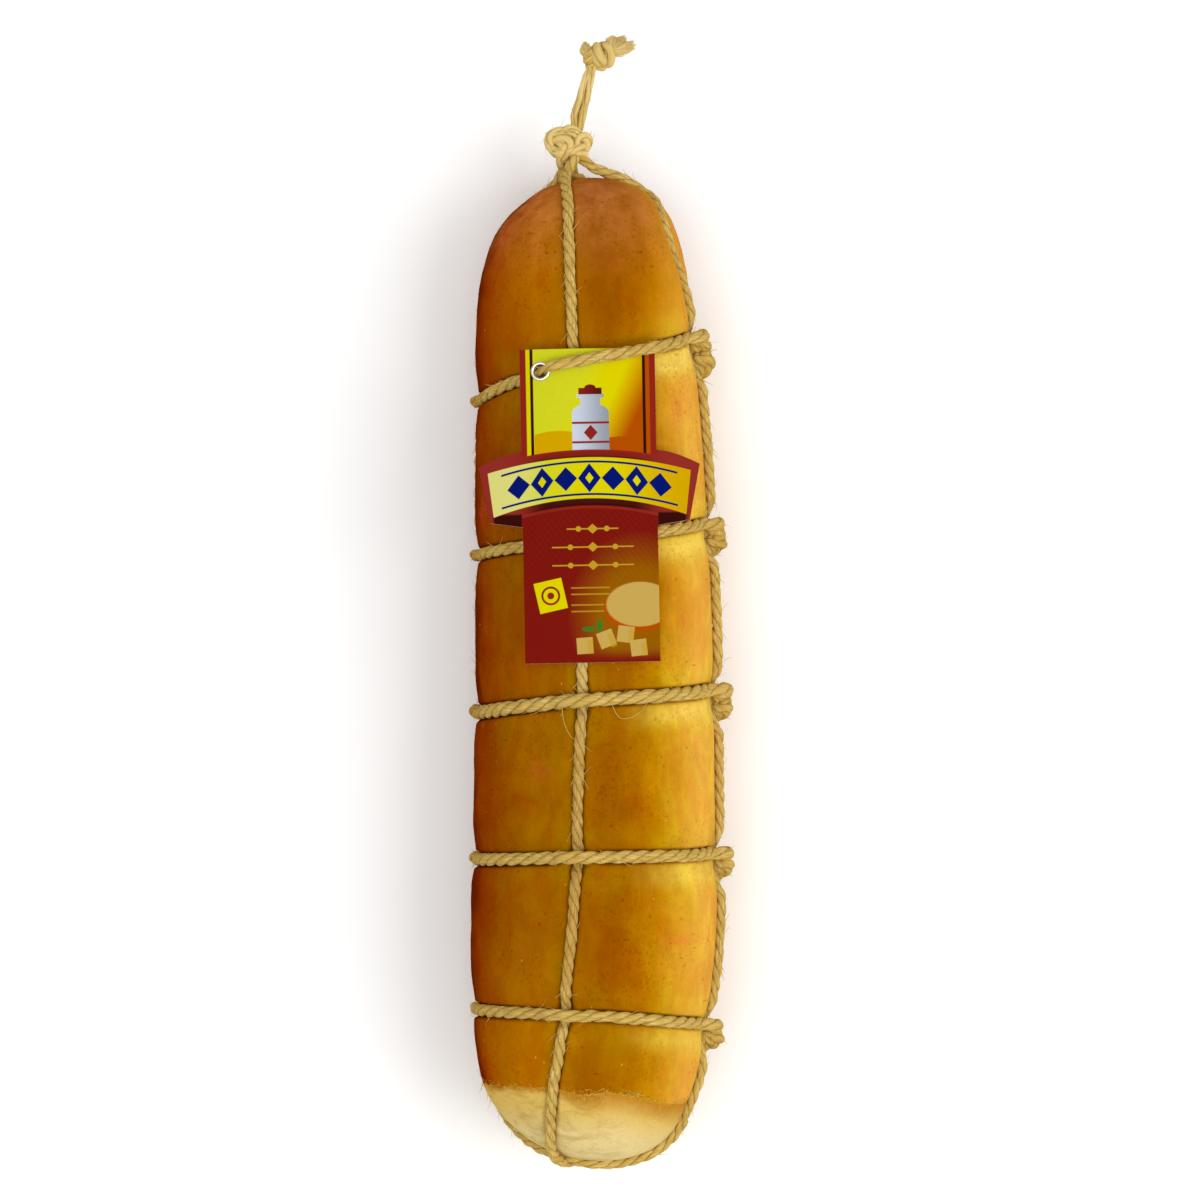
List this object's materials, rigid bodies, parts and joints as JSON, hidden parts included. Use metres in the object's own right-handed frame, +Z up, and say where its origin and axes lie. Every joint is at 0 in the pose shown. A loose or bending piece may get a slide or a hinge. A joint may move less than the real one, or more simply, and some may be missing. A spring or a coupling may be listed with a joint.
{
  "type": "provolone cheese",
  "caption": "Long smoked provolone hung in a twine net, with two lengthwise strands, round hoops, a knotted hanging loop and a printed cardboard hang tag.",
  "frame": {"origin": "middle of the small flat that the middle hoop presses on the surface the cheese lies on", "axes": "+Y from the rounded foot to the hanging loop, +X to the side with the hitches, +Z up to the tagged front"},
  "size_m": [0.1285, 0.5416, 0.1239],
  "materials": {
    "rind": "satin smoked rind, amber above and cream at the foot",
    "twine": "matt three-ply natural fibre",
    "card": "glossy printed card",
    "eyelet": "rolled bright metal"
  },
  "bodies": {
    "root": {"cheese": "rind", "twine_front_to_back": "twine", "twine_side_to_side": "twine", "hoop_1": "twine", "hoop_2": "twine", "hoop_3": "twine", "hoop_4": "twine", "hoop_5": "twine", "crown_knot": "twine", "loop_twine_left": "twine", "loop_twine_right": "twine", "end_knot": "twine", "frayed_end_long": "twine", "frayed_end_short": "twine", "tag": "card", "eyelet": "eyelet"}
  },
  "joints": []
}
